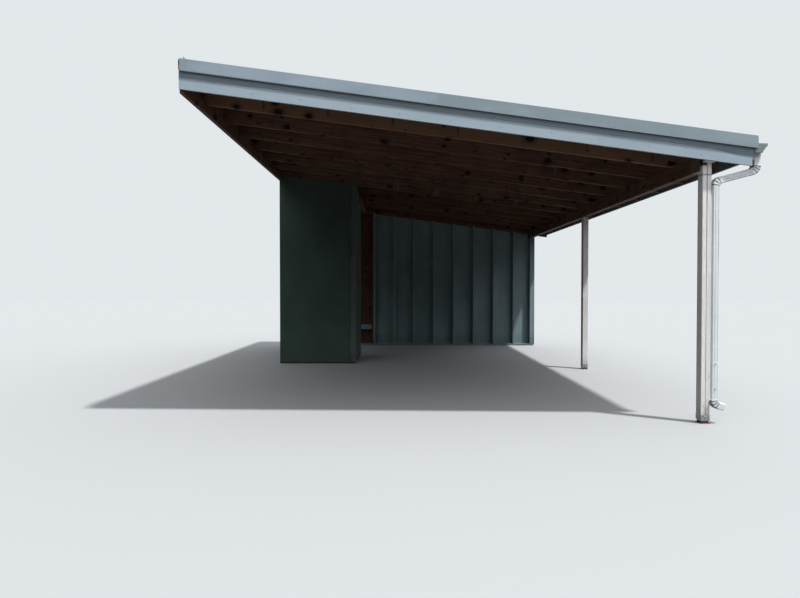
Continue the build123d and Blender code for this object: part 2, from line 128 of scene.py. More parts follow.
# Sawn softwood framing under brown stain: long grain bands that part round dark oval knots,
# each board with its own tone, and faint saw marks across the grain. Near the open front the
# stain is painted lighter, as painted light where more light falls on the front rafters.
def sawnLumber(name, look):
    material, tree = newTree(name)
    coords = addNode(tree, "TexCoord", {}, "Object")
    turn = (0, roofTilt, 0) if look["grain"] == "slope" else (0, 0, 0)
    alongAxis = {"slope": 0, "x": 0, "y": 1, "z": 2}[look["grain"]]
    throughAxis = {"x": 0, "y": 1, "z": 2}[look["through"]]

    # sizes along the grain, through the board and across its face
    def sized(along, through, across):
        return tuple({alongAxis: along, throughAxis: through}.get(i, across) for i in range(3))

    # one tone for each board, from where it stands
    start, step = look["boards"]
    board = addNode(tree, "VectorMath", {0: coords, 1: start}, operation="ADD")
    board = addNode(tree, "VectorMath", {0: board, 1: step}, operation="SNAP")
    boardTone = addNode(tree, "TexWhiteNoise", {"Vector": board}, "Value")

    # a knot runs through its board, up to knotSize in radius, in the share "knots" of the cells
    cell = addNode(tree, "Mapping", {"Vector": coords, "Rotation": turn, "Scale": sized(*sawn["knotCell"])},
                   vector_type="TEXTURE")
    centre = addNode(tree, "TexVoronoi", {"Vector": cell, "Scale": 1.0, "Randomness": 0.8}, "Position")
    chance = addNode(tree, "TexVoronoi", {"Vector": cell, "Scale": 1.0, "Randomness": 0.8}, "Color")
    away = addNode(tree, "VectorMath", {0: cell, 1: centre}, operation="SUBTRACT")
    away = addNode(tree, "VectorMath", {0: away, 1: sized(*sawn["knotOval"])}, operation="MULTIPLY")
    away = addNode(tree, "VectorMath", {0: away}, "Value", operation="LENGTH")
    chance = addNode(tree, "SeparateXYZ", {0: chance}, 0)
    radius = addNode(tree, "MapRange", {
        0: chance, 1: 1 - look["knots"], 2: 1.0, 3: sawn["pinKnot"], 4: look["knotSize"]})
    knot = addNode(tree, "Math", {0: away, 1: radius}, operation="DIVIDE")
    knotCore, knotRing = (
        addNode(tree, "MapRange", {0: knot, 1: near, 2: far, 3: 1.0, 4: 0.0}, interpolation_type="SMOOTHSTEP")
        for near, far in (sawn["core"], sawn["ring"]))

    # grain bands 9 mm wide, coarser than the 3 mm rings of real lumber so that they show
    shove = addNode(tree, "Math", {0: knotRing, 1: sawn["parting"]}, operation="MULTIPLY")
    shove = addNode(tree, "CombineXYZ", {0: shove, 1: shove, 2: shove})
    parted = addNode(tree, "VectorMath", {0: coords, 1: shove}, operation="ADD")
    bands = mottle(tree, parted, sized(*sawn["bands"]), 4.0, 0.25, turn)
    broad = mottle(tree, parted, sized(*sawn["broad"]), 2.0, 0.6, turn)
    sawMarks = mottle(tree, coords, sized(*sawn["sawMarks"]), 1.0, 0.0, turn)
    patches = mottle(tree, coords, sawn["patches"])

    tone = linearColour(look["light"])
    tone = layer(tree, tone, look["dark"], bands, 0.32, 0.68)
    tone = layer(tree, tone, look["light"], broad, 0.38, 0.7, 0.55)
    tone = layer(tree, tone, look["warm"], boardTone, 0.2, 1.0, 0.5)
    tone = layer(tree, tone, look["dark"], patches, 0.42, 0.75, 0.55)
    # painted light: the stain is painted lighter towards the open front
    if "frontLit" in look:
        depth = addNode(tree, "SeparateXYZ", {0: coords}, 1)
        tone = layer(tree, tone, look["frontLit"], depth, *look["frontLitFrom"], 0.6)
    tone = layer(tree, tone, look["dark"], knotRing, 0.0, 1.0, 0.55)
    tone = layer(tree, tone, look["knot"], knotCore, 0.0, 1.0)
    rough = addNode(tree, "MapRange", {0: bands, 1: 0.3, 2: 0.7, 3: 0.84, 4: 0.7})
    height = addNode(tree, "Math", {0: sawMarks, 1: 0.35, 2: bands}, operation="MULTIPLY_ADD")
    height = addNode(tree, "Math", {0: knotCore, 1: -0.8, 2: height}, operation="MULTIPLY_ADD")
    bump = addNode(tree, "Bump", {"Height": height, "Strength": 0.5, "Distance": sawn["relief"]})
    surface = addNode(tree, "BsdfPrincipled", {
        "Base Color": tone, "Roughness": rough, "Normal": bump, "IOR": 1.5, "Specular IOR Level": 0.15})
    addNode(tree, "OutputMaterial", {"Surface": surface})
    return material


# a joint's waver and its soft rim are in its own widths
brushed = {"splashFoot": 0.02, "chipRim": 0.03, "jointWaver": 2.2, "jointRim": (2.1, 1.4), "relief": 0.0012}


# Exterior paint brushed on softwood and board: satin, with the grain telegraphing through,
# faint rain streaks, soil splashed up from the floor and chips that bare the wood. "joints"
# adds the dark lines between two pieces, "peeled" a patch whose face ply has come off.
def brushedPaint(name, look):
    material, tree = newTree(name)
    coords = addNode(tree, "TexCoord", {}, "Object")
    alongAxis = {"x": 0, "y": 1, "z": 2}[look["grain"]]
    level = addNode(tree, "SeparateXYZ", {0: coords}, 2)
    strokes = mottle(tree, coords, tuple(0.16 if i == alongAxis else 0.006 for i in range(3)), 4.0, 0.3)
    cloud = mottle(tree, coords, (0.45, 0.45, 0.6))
    streaks = mottle(tree, coords, (0.035, 0.035, 0.7), 3.0, 0.3)
    speck = mottle(tree, coords, (0.016, 0.016, 0.028), 4.0, 0.4)
    lumps = mottle(tree, coords, (0.022, 0.022, 0.05), 2.0, 0.8)

    tone = linearColour(look["paint"])
    tone = layer(tree, tone, look["faded"], cloud, 0.35, 0.7)
    tone = layer(tree, tone, look["dirt"], streaks, 0.52, 0.8, look["streaks"])
    tone = layer(tree, tone, look["dirt"], strokes, 0.52, 0.72, look["grainDirt"])
    low = addNode(tree, "MapRange", {0: level, 1: brushed["splashFoot"], 2: look["splashTop"], 3: 1.0, 4: 0.0},
                  interpolation_type="SMOOTHSTEP")
    splash = addNode(tree, "Math", {0: low, 1: speck}, operation="MULTIPLY")
    tone = layer(tree, tone, look["dirt"], splash, 0.2, 0.62, look["splash"])
    chips = addNode(tree, "MapRange", {0: speck, 1: look["chipFrom"], 2: look["chipFrom"] + brushed["chipRim"]})
    tone = layer(tree, tone, look["bare"], chips, 0.0, 1.0)
    for axis, where, wide in look.get("joints", ()):
        off = addNode(tree, "SeparateXYZ", {0: coords}, axis)
        off = addNode(tree, "Math", {0: off, 1: where}, operation="SUBTRACT")
        off = addNode(tree, "Math", {0: off}, operation="ABSOLUTE")
        off = addNode(tree, "Math", {0: cloud, 1: wide * brushed["jointWaver"], 2: off}, operation="MULTIPLY_ADD")
        tone = layer(tree, tone, look["joint"], off, *(wide * rim for rim in brushed["jointRim"]), 0.6)
    if "peeled" in look:
        tone, chips = peelAway(tree, coords, tone, look["peeled"])
    rough = addNode(tree, "MapRange", {0: streaks, 1: 0.3, 2: 0.8, 3: look["gloss"], 4: look["gloss"] + 0.2})
    height = addNode(tree, "Math", {0: chips, 1: -0.9, 2: strokes}, operation="MULTIPLY_ADD")
    height = addNode(tree, "Math", {0: lumps, 1: look["lumps"], 2: height}, operation="MULTIPLY_ADD")
    bump = addNode(tree, "Bump", {"Height": height, "Strength": look["rough"], "Distance": brushed["relief"]})
    surface = addNode(tree, "BsdfPrincipled", {
        "Base Color": tone, "Roughness": rough, "Normal": bump, "IOR": 1.5, "Specular IOR Level": look["sheen"]})
    addNode(tree, "OutputMaterial", {"Surface": surface})
    return material


# Where the face ply has come off: a ragged patch of reddish inner ply, and bare wood along
# the torn upper edge.
def peelAway(tree, coords, tone, look):
    alongWall = addNode(tree, "SeparateXYZ", {0: coords}, 1)
    level = addNode(tree, "SeparateXYZ", {0: coords}, 2)
    rag = mottle(tree, coords, (0.05, 0.05, 0.09), 4.0, 0.3)
    wood = mottle(tree, coords, (0.008, 0.008, 0.3), 4.0, 0.3)
    middle = at(0, *look["middle"])
    reach = None
    for axis, centre, half in ((alongWall, middle.y, look["half"][0]), (level, middle.z, look["half"][1])):
        off = addNode(tree, "Math", {0: axis, 1: centre}, operation="SUBTRACT")
        off = addNode(tree, "Math", {0: off}, operation="ABSOLUTE")
        off = addNode(tree, "Math", {0: off, 1: half}, operation="DIVIDE")
        reach = off if reach is None else addNode(tree, "Math", {0: reach, 1: off}, operation="MAXIMUM")
    reach = addNode(tree, "Math", {0: rag, 1: look["ragged"], 2: reach}, operation="MULTIPLY_ADD")
    near, far = look["rim"]
    patch = addNode(tree, "MapRange", {0: reach, 1: near, 2: far, 3: 1.0, 4: 0.0})
    outside = addNode(tree, "SeparateXYZ", {0: coords}, 0)
    outside = addNode(tree, "Math", {0: outside, 1: at(look["outside"], 0, 0).x}, operation="GREATER_THAN")
    patch = addNode(tree, "Math", {0: patch, 1: outside}, operation="MULTIPLY")
    start = at(0, *look["tearStart"])
    line = addNode(tree, "Math", {0: alongWall, 1: look["tearFall"], 2: level}, operation="MULTIPLY_ADD")
    line = addNode(tree, "Math", {0: rag, 1: look["tearWaver"], 2: line}, operation="MULTIPLY_ADD")
    edge = start.z + look["tearFall"] * start.y
    below, above = look["tearRim"]
    torn = addNode(tree, "MapRange", {0: line, 1: edge - below, 2: edge - above})
    bare = addNode(tree, "Math", {0: patch, 1: torn}, operation="MAXIMUM")
    ply = layer(tree, linearColour(look["dark"]), look["light"], wood, 0.35, 0.65)
    return layer(tree, tone, ply, bare, 0.0, 1.0), bare


# the rafters' underside in the middle of the footprint, where the shared frame's x is 0
underMiddle = rafterUnder(setOut["ledgerShift"])
# crimps of an elbow that are painted darker as painted shade, in degrees about its bend: every second one, so that
# it shows
crimpAngles = {"first": 9.375, "last": 66.0, "pitch": 22.5}
crimpRim = (0.26, 0.1)        # where the painted crimp shade fades in and is full, in shares of the pitch
sagReach = (1.98, 2.28)       # where the painted shadow strip starts to sag and has sagged, on the frame's x


# Coil-coated steel or aluminium: an even satin film on thin sheet that waves a little, with
# faint rain streaks and gritty grime. A strip of painted shade can be added: a painted shadow under
# the trim's drip on the fascia cover, which sags near the eave, and painted shade over the trim's
# kick. With crimps, every second crimp of an elbow gets painted shade.
def coatedSheet(name, look):
    material, tree = newTree(name)
    coords = addNode(tree, "TexCoord", {}, "Object")
    across = addNode(tree, "SeparateXYZ", {0: coords}, 0)
    level = addNode(tree, "SeparateXYZ", {0: coords}, 2)
    wave = mottle(tree, coords, (0.4, 0.4, 0.12), 1.0)
    cloud = mottle(tree, coords, (0.7, 0.7, 0.25))
    streaks = mottle(tree, coords, (0.018, 0.018, 0.35), 3.0, 0.2)
    grit = mottle(tree, coords, (0.012, 0.012, 0.012))
    tone = linearColour(look["film"])
    tone = layer(tree, tone, look["faded"], cloud, 0.35, 0.7)
    tone = layer(tree, tone, look["grime"], streaks, 0.5, 0.8, look["streaks"])
    tone = layer(tree, tone, look["grime"], grit, 0.62, 0.72, look["grit"])
    # painted shade: the sheet is painted darker below a given height along the slope, sagging near the eave where
    # asked
    if "paintedShade" in look:
        paintedShade = look["paintedShade"]
        ragged = mottle(tree, coords, (0.6, 0.6, 0.6))
        drop = addNode(tree, "Math", {0: across, 1: fall, 2: level}, operation="MULTIPLY_ADD")
        drop = addNode(tree, "Math", {0: ragged, 1: paintedShade["uneven"], 2: drop}, operation="MULTIPLY_ADD")
        near, far = sagReach
        nearEave = addNode(tree, "MapRange", {0: across, 1: near, 2: far, 3: 0.0, 4: paintedShade["sag"]},
                           interpolation_type="SMOOTHSTEP")
        drop = addNode(tree, "Math", {0: drop, 1: nearEave}, operation="ADD")
        foot = underMiddle + paintedShade["foot"]
        tone = layer(tree, tone, paintedShade["colour"], drop, foot, foot + paintedShade["fade"], paintedShade["most"])
    # painted shade in every second crimp of the elbow
    if "crimps" in look:
        bendX, bendZ = at(look["crimps"]["bend"][0], 0, look["crimps"]["bend"][1]).xz
        wayX, wayZ = look["crimps"]["way"]
        run = addNode(tree, "Math", {0: across, 1: bendX}, operation="SUBTRACT")
        rise = addNode(tree, "Math", {0: level, 1: bendZ}, operation="SUBTRACT")
        run = addNode(tree, "Math", {0: run, 1: wayX}, operation="MULTIPLY")
        rise = addNode(tree, "Math", {0: rise, 1: wayZ}, operation="MULTIPLY")
        angle = addNode(tree, "Math", {0: rise, 1: run}, operation="ARCTAN2")
        first, last, pitch = (math.radians(crimpAngles[key]) for key in ("first", "last", "pitch"))
        angle = addNode(tree, "MapRange", {0: angle, 1: 0.0, 2: last, 3: -first, 4: last - first})
        angle = addNode(tree, "Math", {0: angle, 1: pitch / 2}, operation="PINGPONG")
        tone = layer(tree, tone, look["crimpShade"], angle, *(pitch * rim for rim in crimpRim), 0.9)
    rough = addNode(tree, "MapRange", {0: cloud, 1: 0.3, 2: 0.75, 3: look["gloss"], 4: look["gloss"] + 0.14})
    height = addNode(tree, "Math", {0: grit, 1: 0.02, 2: wave}, operation="MULTIPLY_ADD")
    bump = addNode(tree, "Bump", {"Height": height, "Strength": 0.25, "Distance": 0.004})
    surface = addNode(tree, "BsdfPrincipled", {
        "Base Color": tone, "Roughness": rough, "Normal": bump, "IOR": 1.5, "Specular IOR Level": 0.4})
    addNode(tree, "OutputMaterial", {"Surface": surface})
    return material


# Hot-dip galvanised steel: dull grey metal with 11 mm zinc spangle, white bloom, and rust
# that climbs from the floor.
def galvanisedSteel(name, look):
    material, tree = newTree(name)
    coords = addNode(tree, "TexCoord", {}, "Object")
    level = addNode(tree, "SeparateXYZ", {0: coords}, 2)
    place = addNode(tree, "Mapping", {"Vector": coords, "Scale": [look["spangleSize"]] * 3}, vector_type="TEXTURE")
    spangle = addNode(tree, "TexVoronoi", {"Vector": place, "Scale": 1.0}, "Color")
    spangle = addNode(tree, "SeparateXYZ", {0: spangle}, 0)
    bloom = mottle(tree, coords, (0.05, 0.05, 0.05), 4.0)
    spots = mottle(tree, coords, (0.03, 0.03, 0.022), 5.0, 0.5)
    tone = layer(tree, linearColour(look["zinc"]), look["spangle"], spangle, 0.1, 0.9)
    tone = layer(tree, tone, look["bloom"], bloom, 0.5, 0.75, 0.5)
    low = addNode(tree, "MapRange", {0: level, 1: look["rustFoot"], 2: look["rustTop"], 3: look["rust"], 4: 0.0})
    rust = addNode(tree, "Math", {0: low, 1: spots}, operation="ADD")
    rust = addNode(tree, "MapRange", {0: rust, 1: 0.82, 2: 0.95}, interpolation_type="SMOOTHSTEP")
    rustTone = layer(tree, linearColour(look["rustDark"]), look["rustLight"], spots, 0.35, 0.65)
    tone = layer(tree, tone, rustTone, rust, 0.0, 1.0)
    metal = addNode(tree, "MapRange", {0: rust, 1: 0.0, 2: 1.0, 3: 1.0, 4: 0.0})
    rough = addNode(tree, "MapRange", {0: rust, 1: 0.0, 2: 1.0, 3: 0.48, 4: 0.92})
    height = addNode(tree, "Math", {0: rust, 1: spots}, operation="MULTIPLY")
    bump = addNode(tree, "Bump", {"Height": height, "Strength": 0.6, "Distance": 0.001})
    surface = addNode(tree, "BsdfPrincipled", {
        "Base Color": tone, "Metallic": metal, "Roughness": rough, "Normal": bump})
    addNode(tree, "OutputMaterial", {"Surface": surface})
    return material


# Steel painted a dark brown as painted shade under the roof: a thin brown film, patchy and dull.
def shadeDarkSteel(name, look):
    material, tree = newTree(name)
    coords = addNode(tree, "TexCoord", {}, "Object")
    film = mottle(tree, coords, (0.03, 0.03, 0.05), 4.0, 0.4)
    tone = layer(tree, linearColour(look["film"]), look["thin"], film, 0.35, 0.7)
    rough = addNode(tree, "MapRange", {0: film, 1: 0.3, 2: 0.7, 3: 0.55, 4: 0.75})
    bump = addNode(tree, "Bump", {"Height": film, "Strength": 0.3, "Distance": 0.0008})
    surface = addNode(tree, "BsdfPrincipled", {"Base Color": tone, "Roughness": rough, "Normal": bump, "IOR": 1.5})
    addNode(tree, "OutputMaterial", {"Surface": surface})
    return material


# "span" is wider than the part, so that one cell holds it all; "before" counts the boards that a
# row starts early, so that no cell is below zero
boardCells = {"span": 100, "before": 100, "rafters": 0.286, "purlins": -0.265, "studs": -1.1}


# cells that give each board of a row its own tone: where they start and how far apart they are
def boardRow(axis, shift, pitch):
    start, step = [boardCells["span"] / 2] * 3, [boardCells["span"]] * 3
    start[axis] = shift + boardCells["before"] * pitch
    step[axis] = pitch
    return start, step


anyBoard = ([boardCells["span"] / 2] * 3, [boardCells["span"]] * 3)
rafterBoards = boardRow(1, setOut["frontShift"] + boardCells["rafters"], setOut["rafterPitch"])
purlinBoards = boardRow(0, setOut["ledgerShift"] + boardCells["purlins"], setOut["purlinPitch"])
studBoards = boardRow(0, setOut["ledgerShift"] + boardCells["studs"], setOut["studPitch"])

stain = {"dark": "#35261e", "light": "#785e4d", "warm": "#603c2c",
         "knot": "#0a0605", "knots": 0.7, "knotSize": 0.034, "boards": anyBoard}
# painted light on the front rafters: a lighter stain near the open front
frontLitStain = {**stain, "frontLit": "#94775b", "frontLitFrom": (at(0, 1.1, 0).y, at(0, 0.4, 0).y)}
cleatStain = {**stain, "dark": "#4d382c", "light": "#8f7460", "knots": 0.2}
weathered = {"dark": "#35271f", "light": "#66503e", "warm": "#5a382a",
             "knot": "#191009", "knots": 0.5, "knotSize": 0.026, "boards": anyBoard}
innerPly = {**weathered, "dark": "#5a3424", "light": "#8f6248", "warm": "#74432f", "knots": 0.1}

white = {"grain": "z", "paint": "#f0f2f1", "faded": "#e2e4df", "dirt": "#98958a", "bare": "#8a8275",
         "rough": 1.0, "lumps": 3.0, "gloss": 0.42, "sheen": 0.4,
         "streaks": 0.22, "grainDirt": 0.35, "splash": 0.6, "splashTop": 0.35, "chipFrom": 0.7}
# each joint is the axis that it is square to, its place and its width
frontPost = {**white, "joint": "#3b3a36", "joints": [(0, at(4.467, 0, 0).x, 0.005), (2, 2.124, 0.009)]}
blueGrey = {"grain": "z", "paint": "#7d949a", "faded": "#899ea3", "dirt": "#5a6361", "bare": "#6f6658",
            "rough": 0.35, "lumps": 0.3, "gloss": 0.55, "sheen": 0.2,
            "streaks": 0.35, "grainDirt": 0.2, "splash": 0.6, "splashTop": 0.5, "chipFrom": 0.745}
greenGrey = {"grain": "z", "paint": "#41534b", "faded": "#4a5d55", "dirt": "#4d544b", "bare": "#6b5a48",
             "rough": 0.35, "lumps": 0.3, "gloss": 0.65, "sheen": 0.1,
             "streaks": 0.4, "grainDirt": 0.2, "splash": 0.5, "splashTop": 0.5, "chipFrom": 0.74}
closetCorner = {**greenGrey, "paint": "#4f625f", "faded": "#606d6b",
                "joint": "#121513", "joints": [(0, at(1.082, 0, 0).x, 0.020)]}
peeled = {"outside": 1.166, "middle": (4.66, 1.60), "half": (0.30, 0.38), "ragged": 0.6, "rim": (1.16, 1.19),
          "tearStart": (4.52, 2.716), "tearFall": 0.193, "tearWaver": 0.09, "tearRim": (0.02, 0.005),
          "dark": "#4a2a1e", "light": "#7c4e38"}

trimFilm = {"film": "#8797a2", "faded": "#96a6b0", "grime": "#5d6869", "streaks": 0.08, "grit": 0.15, "gloss": 0.5}
# painted shade over the trim's kick at its foot, which holds down the highlight that the key light puts there
kickShade = {"colour": "#52606a", "foot": 0.1000, "fade": -0.0022, "most": 1.0, "uneven": 0.0, "sag": 0.0}
# painted shadow of the trim's drip on the fascia cover, which sags near the eave; the key light's own shadow falls
# there too
dripShadow = {"colour": "#6d7c86", "foot": 0.046, "fade": 0.003, "most": 0.85, "uneven": 0.02, "sag": 0.032}
rakeFilm = {**trimFilm, "paintedShade": kickShade}
lowerFilm = {**rakeFilm, "film": "#83929a", "faded": "#8e9da5"}
coverFilm = {**trimFilm, "film": "#9aacb6", "faded": "#a2b2bb", "paintedShade": dripShadow}
nailFilm = {**trimFilm, "film": "#77868e", "faded": "#6d7b82", "grit": 0.5}
roofFilm = {**trimFilm, "film": "#76828a", "faded": "#828d94", "grime": "#4f5859", "streaks": 0.35}
gutterFilm = {**trimFilm, "film": "#76807d", "faded": "#818b87", "grime": "#545950", "streaks": 0.6, "grit": 0.4}
spoutFilm = {**trimFilm, "film": "#e2e8ea", "faded": "#dbe1e3", "grime": "#8e8f83",
             "streaks": 0.3, "grit": 0.3, "crimpShade": "#4b4a45"}
# each elbow's bend axis, from the ledger's back and the floor, and the quarter round it
upperCrimps = {"bend": (4.825, 2.199), "way": (1, -1)}
lowerCrimps = {"bend": (4.592, 2.0227), "way": (-1, 1)}
shoeCrimps = {"bend": (4.592, 0.208), "way": (-1, -1)}

zinc = {"zinc": "#83878a", "spangle": "#a3a6a6", "spangleSize": 0.011, "bloom": "#b4b4ac",
        "rustDark": "#3d2518", "rustLight": "#7c4f30", "rustFoot": 0.012}

finishes = {
    "rafterLumber": sawnLumber("stained sawn rafters", {
        **frontLitStain, "grain": "slope", "through": "y", "boards": rafterBoards}),
    "beamLumber": sawnLumber("stained sawn beam and ledger", {**stain, "grain": "y", "through": "x"}),
    "purlinLumber": sawnLumber("stained sawn purlins", {
        **stain, "grain": "y", "through": "z", "boards": purlinBoards}),
    "plateLumber": sawnLumber("stained sawn plate", {**stain, "grain": "slope", "through": "z"}),
    "cleatLumber": sawnLumber("stained sawn cleats", {**cleatStain, "grain": "z", "through": "y"}),
    "bareUpright": sawnLumber("weathered sawn studs", {
        **weathered, "grain": "z", "through": "x", "boards": studBoards}),
    "bareLevel": sawnLumber("weathered sawn rails", {**weathered, "grain": "x", "through": "y"}),
    "bareRun": sawnLumber("weathered sawn sills", {**weathered, "grain": "y", "through": "x"}),
    "bareBoard": sawnLumber("weathered wall board", {**weathered, "grain": "z", "through": "y", "knots": 0.3}),
    "peeledPly": sawnLumber("peeled face ply", {**innerPly, "grain": "y", "through": "x"}),
    "whitePost": brushedPaint("white paint on sawn post", white),
    "frontPost": brushedPaint("white paint on the two ply post", frontPost),
    "greyUpright": brushedPaint("blue grey paint on studs and panels", blueGrey),
    "greyLevel": brushedPaint("blue grey paint on plates", {**blueGrey, "grain": "x"}),
    "greyEave": brushedPaint("grey paint on the eave board", {
        **blueGrey, "grain": "y", "paint": "#7b858a", "splash": 0.0}),
    "closetPaint": brushedPaint("green grey paint on closet board", greenGrey),
    "cornerPaint": brushedPaint("green grey paint on the corner board", closetCorner),
    "closetSide": brushedPaint("peeled green grey board", {**greenGrey, "peeled": peeled}),
    "closetNail": brushedPaint("painted closet nails", {**greenGrey, "paint": "#565f57", "faded": "#606a61"}),
    "rakeTrim": coatedSheet("coil coated rake trim", rakeFilm),
    "lowerTrim": coatedSheet("coil coated lower length of trim", lowerFilm),
    "fasciaCover": coatedSheet("coil coated fascia cover", coverFilm),
    "coverNail": coatedSheet("painted nail heads", nailFilm),
    "roofSheet": coatedSheet("coil coated ribbed sheet", roofFilm),
    "gutterFilm": coatedSheet("painted aluminium gutter", gutterFilm),
    "spoutFilm": coatedSheet("white painted aluminium downspout", spoutFilm),
    "upperElbow": coatedSheet("crimped upper elbow", {**spoutFilm, "crimps": upperCrimps}),
    "lowerElbow": coatedSheet("crimped lower elbow", {**spoutFilm, "crimps": lowerCrimps}),
    "shoeElbow": coatedSheet("crimped shoe", {**spoutFilm, "crimps": shoeCrimps}),
    "postBase": galvanisedSteel("galvanised post base", {**zinc, "rustTop": 0.034, "rust": 0.6}),
    "fixings": galvanisedSteel("galvanised fixings", {**zinc, "rustTop": 0.03, "rust": 0.0}),
    # painted shade: the hanger, straps and their nails are painted dark brown for the shade they sit in
    "shadeDarkSteel": shadeDarkSteel("steel painted dark as shade", {"film": "#2c211a", "thin": "#5a4c40"}),
}
print("finishes made,", len(finishes))

nodeFinishes = {
    "rafterLumber": ["front_rafter", "common_rafters", "rear_rafter", "front_edge_boards", "rear_edge_boards"],
    "plateLumber": ["rear_top_plate"],
    "beamLumber": ["ledger_board", "wall_band_board", "eave_beam_inner_ply", "eave_beam_outer_ply",
                   "closet_side_plate"],
    "purlinLumber": ["purlins"],
    "roofSheet": ["wall_flashing", "roof_sheets"],
    "fasciaCover": ["front_fascia_cover", "rear_fascia_cover"],
    "rakeTrim": ["front_rake_trim_upper", "rear_rake_trim"],
    "lowerTrim": ["front_rake_trim_lower"],
    "greyEave": ["eave_fascia"],
    "gutterFilm": ["gutter"],
    "spoutFilm": ["downspout_offset", "downspout_pipe", "downspout_strap_upper", "downspout_strap_lower"],
    "upperElbow": ["downspout_upper_elbow"],
    "lowerElbow": ["downspout_lower_elbow"],
    "shoeElbow": ["downspout_shoe"],
    "frontPost": ["front_post_inner_ply", "front_post_outer_ply"],
    "whitePost": ["post_head_block", "middle_post"],
    "postBase": ["front_post_base", "middle_post_base"],
    "shadeDarkSteel": ["beam_hanger"],
    "greyUpright": ["rear_corner_post", "rear_bay_studs", "rear_bay_boards"],
    "greyLevel": ["rear_sill_plate", "closet_rail_low"],
    "closetPaint": ["closet_front_panel"],
    "cornerPaint": ["closet_corner_board"],
    "closetSide": ["closet_side_panel"],
    "bareUpright": ["rear_closet_studs", "closet_front_studs", "closet_side_studs"],
    "bareBoard": ["rear_closet_board"],
    "bareLevel": ["closet_rail_middle", "closet_rail_high", "closet_front_sill", "closet_front_plate"],
    "bareRun": ["closet_side_sill"],
}
for finish, nodes in nodeFinishes.items():
    for node in nodes:
        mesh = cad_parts[node].data
        mesh.materials.clear()
        mesh.materials.append(finishes[finish])
undressed = set(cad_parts) - {node for nodes in nodeFinishes.values() for node in nodes}
print("frame dressed, left plain:", sorted(undressed))


# an object at the origin with its place in its mesh, riding on the carport
def finishPiece(name, bm, finish):
    mesh = bpy.data.meshes.new(name)
    bm.to_mesh(mesh)
    bm.free()
    mesh.materials.append(finishes[finish])
    piece = bpy.data.objects.new(name, mesh)
    bpy.context.collection.objects.link(piece)
    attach(piece, "root")


# a box with its size and its middle
def addBox(bm, size, middle):
    corners = bmesh.ops.create_cube(bm, size=1.0)["verts"]
    bmesh.ops.scale(bm, verts=corners, vec=size)
    bmesh.ops.translate(bm, verts=corners, vec=middle)


# rounds over every edge
def easeEdges(bm, width, segments):
    bmesh.ops.bevel(bm, geom=bm.edges[:], offset=width, offset_type="OFFSET", affect="EDGES",
                    segments=segments, profile=0.5, material=-1)


# one more copy of a small shape
def stamp(bm, template, matrix):
    first = len(bm.verts)
    bm.from_mesh(template)
    bm.verts.ensure_lookup_table()
    bmesh.ops.transform(bm, matrix=matrix, verts=bm.verts[first:])


# turns +Z of a fastener to face a direction
def facing(direction):
    return Vector((0, 0, 1)).rotation_difference(Vector(direction)).to_matrix().to_4x4()


# low round head with a crowned top, whose crown starts at a share of the radius
def discShape(radius, height, sides, crown, rim=0.35):
    bm = bmesh.new()
    bmesh.ops.create_circle(bm, cap_ends=True, segments=sides, radius=radius)
    top = bmesh.ops.extrude_face_region(bm, geom=bm.faces[:])
    verts = [v for v in top["geom"] if isinstance(v, bmesh.types.BMVert)]
    bmesh.ops.translate(bm, verts=verts, vec=(0, 0, height))
    face = [f for f in top["geom"] if isinstance(f, bmesh.types.BMFace)]
    bmesh.ops.inset_region(bm, faces=face, thickness=radius * rim, depth=crown)
    bmesh.ops.recalc_face_normals(bm, faces=bm.faces[:])
    mesh = bpy.data.meshes.new("head")
    bm.to_mesh(mesh)
    bm.free()
    return mesh


# hexagon head on a dished sealing washer
def hexScrewShape(washer, across, height, seal=0.002):
    bm = bmesh.new()
    bmesh.ops.create_cone(bm, cap_ends=True, segments=12, radius1=washer, radius2=washer * 0.8, depth=seal,
                          matrix=Matrix.Translation((0, 0, seal / 2)))
    bmesh.ops.create_cone(bm, cap_ends=True, segments=6, radius1=across, radius2=across * 0.94, depth=height,
                          matrix=Matrix.Translation((0, 0, seal + height / 2)))
    mesh = bpy.data.meshes.new("hex screw")
    bm.to_mesh(mesh)
    bm.free()
    return mesh


# screws that hold the roof sheets to each purlin
roofScrews = {"washer": 0.008, "across": 0.0046, "head": 0.0045, "pitch": 0.23206, "fromFront": 0.044, "perRow": 32}
roofUp = facing((fall, 0, 1))
hexShape = hexScrewShape(roofScrews["washer"], roofScrews["across"], roofScrews["head"])
bm = bmesh.new()
for x in purlins:
    for i in range(roofScrews["perRow"]):
        y = roofScrews["fromFront"] + i * roofScrews["pitch"]
        stamp(bm, hexShape, Matrix.Translation(at(x, y, rafterUnder(x) + sheetTop)) @ roofUp)
finishPiece("roof_screws", bm, "fixings")
print("roof screws set")


# straps that tie each rafter to the purlins over it, with their nails
tieStraps = {"wide": 0.023, "thick": 0.0012, "height": 0.112, "top": 0.141,
             "nail": 0.0035, "nailLevels": (0.012, 0.04, 0.068)}
bm = bmesh.new()
nails = bmesh.new()
nailShape = discShape(tieStraps["nail"], height=0.001, sides=8, crown=0.0006)
for index in range(1, setOut["rafterCount"]):
    face = setOut["firstRafter"] + index * setOut["rafterPitch"]
    for x in purlins[:-1]:
        low = rafterUnder(x) + tieStraps["top"] - tieStraps["height"]
        addBox(bm, (tieStraps["wide"], tieStraps["thick"], tieStraps["height"]),
               at(x, face - tieStraps["thick"] / 2, low + tieStraps["height"] / 2))
        for level in tieStraps["nailLevels"]:
            head = Matrix.Translation(at(x, face - tieStraps["thick"], low + level))
            stamp(nails, nailShape, head @ facing((0, -1, 0)))
finishPiece("rafter_tie_straps", bm, "shadeDarkSteel")
finishPiece("strap_nails", nails, "shadeDarkSteel")
print("tie straps nailed")


